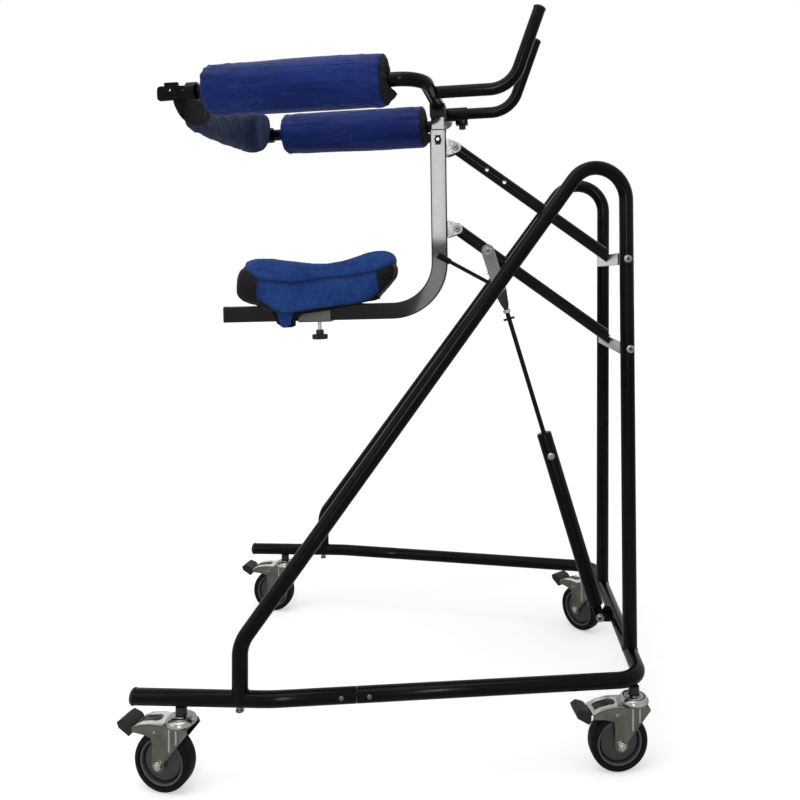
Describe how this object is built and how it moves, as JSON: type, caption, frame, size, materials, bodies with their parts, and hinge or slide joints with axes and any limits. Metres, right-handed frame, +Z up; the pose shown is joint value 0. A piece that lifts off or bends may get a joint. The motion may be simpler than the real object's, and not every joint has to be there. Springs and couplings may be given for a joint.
{
  "type": "wheeled walker",
  "caption": "Wheeled walker with a saddle seat and a padded trunk ring on a spring-balanced lifting linkage, in a tubular frame on braked swivel casters.",
  "frame": {"origin": "on the floor, under the middle of the walker's box", "axes": "+X forward, the way the user walks, +Y to the user's left, +Z up"},
  "size_m": [0.9554, 0.797, 1.4409],
  "materials": {
    "black_paint": "gloss black powder coat",
    "column_paint": "dark grey metallic paint",
    "zinc": "bright zinc plate",
    "lever_steel": "satin grey",
    "black_plastic": "fine grain",
    "tyre_rubber": "matt",
    "wheel_plastic": "satin",
    "blue_cover": "shiny dark blue coated cover",
    "saddle_cloth": "mid blue mesh cloth"
  },
  "bodies": {
    "base": {"base_front_tube": "black_paint", "base_rail_right": "black_paint", "base_rail_left": "black_paint", "side_frame_right": "black_paint", "side_frame_left": "black_paint", "stem_rear_right": "zinc", "stem_front_right": "zinc", "stem_rear_left": "zinc", "stem_front_left": "zinc", "cross_bolt_upper": "zinc", "cross_bolt_lower": "zinc"},
    "lower_arm": {"lower_arm": "black_paint", "arm_yoke_lower": "zinc", "lever_bolt": "zinc"},
    "upper_arm": {"upper_arm": "black_paint", "arm_yoke_upper": "zinc"},
    "column": {"column": "column_paint", "column_bracket_upper": "zinc", "column_bracket_lower": "zinc", "arm_bolt_upper": "zinc", "arm_bolt_lower": "zinc"},
    "mast": {"mast": "column_paint", "head_block": "black_plastic", "trunk_bar": "black_paint", "trunk_pad_right": "blue_cover", "trunk_pad_left": "blue_cover"},
    "mast_screw": {"mast_screw": "black_plastic"},
    "extension_right": {"bar_extension_right": "black_paint", "back_strap": "blue_cover"},
    "extension_left": {"bar_extension_left": "black_paint"},
    "handlebar_left": {"handlebar_left": "black_paint"},
    "handle_knob": {"handle_knob": "black_plastic"},
    "seat": {"seat_sleeve": "black_paint", "saddle": "saddle_cloth"},
    "seat_knob": {"seat_knob": "black_plastic"},
    "lever": {"lever": "lever_steel"},
    "tie_rod": {"tie_rod": "black_paint"},
    "spring_tube": {"spring_tube": "black_paint", "spring": "zinc"},
    "spring_rod": {"spring_rod": "black_paint"},
    "fork_rear_right": {"fork_rear_right": "zinc", "axle_rear_right": "zinc"},
    "wheel_rear_right": {"wheel_rear_right": "wheel_plastic", "tyre_rear_right": "tyre_rubber"},
    "pedal_rear_right": {"pedal_rear_right": "black_plastic"},
    "fork_front_right": {"fork_front_right": "zinc", "axle_front_right": "zinc"},
    "wheel_front_right": {"wheel_front_right": "wheel_plastic", "tyre_front_right": "tyre_rubber"},
    "pedal_front_right": {"pedal_front_right": "black_plastic"},
    "fork_rear_left": {"fork_rear_left": "zinc", "axle_rear_left": "zinc"},
    "wheel_rear_left": {"wheel_rear_left": "wheel_plastic", "tyre_rear_left": "tyre_rubber"},
    "pedal_rear_left": {"pedal_rear_left": "black_plastic"},
    "fork_front_left": {"fork_front_left": "zinc", "axle_front_left": "zinc"},
    "wheel_front_left": {"wheel_front_left": "wheel_plastic", "tyre_front_left": "tyre_rubber"},
    "pedal_front_left": {"pedal_front_left": "black_plastic"}
  },
  "joints": [
    {"name": "lift", "type": "hinge", "parent": "base", "child": "lower_arm", "pos_m": [0.4605, 0, 0.752], "axis": [0, -1, 0], "range_deg": [0, 30], "stiffness_Nm_per_rad": 60, "springref_deg": -57.3},
    {"name": "upper_link", "type": "hinge", "parent": "base", "child": "upper_arm", "pos_m": [0.4568, 0, 0.929], "axis": [0, -1, 0], "range_deg": [-0.01, 30.01]},
    {"name": "column_level", "type": "hinge", "parent": "lower_arm", "child": "column", "pos_m": [0.11786, 0, 0.99731], "axis": [0, -1, 0], "range_deg": [-30.01, 0.01]},
    {"name": "lever_swing", "type": "hinge", "parent": "lower_arm", "child": "lever", "pos_m": [0.1838, 0, 0.9501], "axis": [0, -1, 0], "range_deg": [-31, 0.01]},
    {"name": "tie_swing", "type": "hinge", "parent": "column", "child": "tie_rod", "pos_m": [0.0822, 0, 0.9368], "axis": [0, -1, 0], "range_deg": [-0.01, 16.4]},
    {"name": "strut_swing", "type": "hinge", "parent": "base", "child": "spring_tube", "pos_m": [0.426, 0, 0.157], "axis": [0, -1, 0], "range_deg": [-0.01, 11.1]},
    {"name": "rod_slide", "type": "slide", "parent": "spring_tube", "child": "spring_rod", "axis": [0.2901, 0, -0.957], "range_m": [-0.0001, 0.1262], "deforming": ["spring"]},
    {"name": "mast_slide", "type": "slide", "parent": "column", "child": "mast", "axis": [-0.0138, 0, 0.9999], "range_m": [-0.02, 0.11]},
    {"name": "mast_screw_turn", "type": "hinge", "parent": "column", "child": "mast_screw", "pos_m": [0.076, -0.0175, 1.19], "axis": [0, -1, 0], "range_deg": [0, 360]},
    {"name": "extension_slide_right", "type": "slide", "parent": "mast", "child": "extension_right", "axis": [-0.9964, 0.0784, -0.0314], "range_m": [-0.02, 0.06]},
    {"name": "extension_slide_left", "type": "slide", "parent": "mast", "child": "extension_left", "axis": [-0.9964, 0.0784, -0.0314], "range_m": [-0.0201, 0.0601]},
    {"name": "handle_slide", "type": "slide", "parent": "mast", "child": "handlebar_left", "axis": [0.9964, -0.0784, 0.0314], "range_m": [0, 0.025]},
    {"name": "handle_knob_turn", "type": "hinge", "parent": "mast", "child": "handle_knob", "pos_m": [0.12656, 0.09993, 1.24973], "axis": [-0.0301, 0.0181, 0.9994], "range_deg": [0, 360]},
    {"name": "seat_slide", "type": "slide", "parent": "column", "child": "seat", "axis": [0.9997, 0, 0.0262], "range_m": [-0.08, 0.03]},
    {"name": "seat_knob_turn", "type": "hinge", "parent": "seat", "child": "seat_knob", "pos_m": [-0.18521, 0, 0.7854], "axis": [0.0262, 0, -0.9997], "range_deg": [0, 360]},
    {"name": "swivel_rear_right", "type": "hinge", "parent": "base", "child": "fork_rear_right", "pos_m": [-0.353, -0.367, 0.121], "axis": [0, 0, 1], "continuous": true},
    {"name": "spin_rear_right", "type": "hinge", "parent": "fork_rear_right", "child": "wheel_rear_right", "pos_m": [-0.38343, -0.36108, 0.0535], "axis": [0.1908, 0.9816, 0], "continuous": true},
    {"name": "brake_rear_right", "type": "hinge", "parent": "fork_rear_right", "child": "pedal_rear_right", "pos_m": [-0.39128, -0.35956, 0.1125], "axis": [-0.1908, -0.9816, 0], "range_deg": [0, 10]},
    {"name": "swivel_front_right", "type": "hinge", "parent": "base", "child": "fork_front_right", "pos_m": [0.446, -0.267, 0.121], "axis": [0, 0, 1], "continuous": true},
    {"name": "spin_front_right", "type": "hinge", "parent": "fork_front_right", "child": "wheel_front_right", "pos_m": [0.41547, -0.27238, 0.0535], "axis": [-0.1736, 0.9848, 0], "continuous": true},
    {"name": "brake_front_right", "type": "hinge", "parent": "fork_front_right", "child": "pedal_front_right", "pos_m": [0.40759, -0.27377, 0.1125], "axis": [0.1736, -0.9848, 0], "range_deg": [0, 10]},
    {"name": "swivel_rear_left", "type": "hinge", "parent": "base", "child": "fork_rear_left", "pos_m": [-0.353, 0.367, 0.121], "axis": [0, 0, 1], "continuous": true},
    {"name": "spin_rear_left", "type": "hinge", "parent": "fork_rear_left", "child": "wheel_rear_left", "pos_m": [-0.38377, 0.37078, 0.0535], "axis": [0.1219, 0.9925, 0], "continuous": true},
    {"name": "brake_rear_left", "type": "hinge", "parent": "fork_rear_left", "child": "pedal_rear_left", "pos_m": [-0.39171, 0.37175, 0.1125], "axis": [-0.1219, -0.9925, 0], "range_deg": [0, 10]},
    {"name": "swivel_front_left", "type": "hinge", "parent": "base", "child": "fork_front_left", "pos_m": [0.446, 0.267, 0.121], "axis": [0, 0, 1], "continuous": true},
    {"name": "spin_front_left", "type": "hinge", "parent": "fork_front_left", "child": "wheel_front_left", "pos_m": [0.42526, 0.29004, 0.0535], "axis": [0.7431, 0.6691, 0], "continuous": true},
    {"name": "brake_front_left", "type": "hinge", "parent": "fork_front_left", "child": "pedal_front_left", "pos_m": [0.4199, 0.29598, 0.1125], "axis": [-0.7431, -0.6691, 0], "range_deg": [0, 10]}
  ],
  "couplings": [
    {"joint": "upper_link", "follows": "lift", "ratio": 1},
    {"joint": "column_level", "follows": "lift", "ratio": -1},
    {"joint": "lever_swing", "follows": "lift", "ratio": -1.032},
    {"joint": "tie_swing", "follows": "lift", "ratio": 0.5433},
    {"joint": "strut_swing", "follows": "lift", "ratio": 0.3687},
    {"joint": "rod_slide", "follows": "lift", "m_per_rad": 0.2407},
    {"joint": "extension_slide_left", "follows": "extension_slide_right", "ratio": 1}
  ]
}
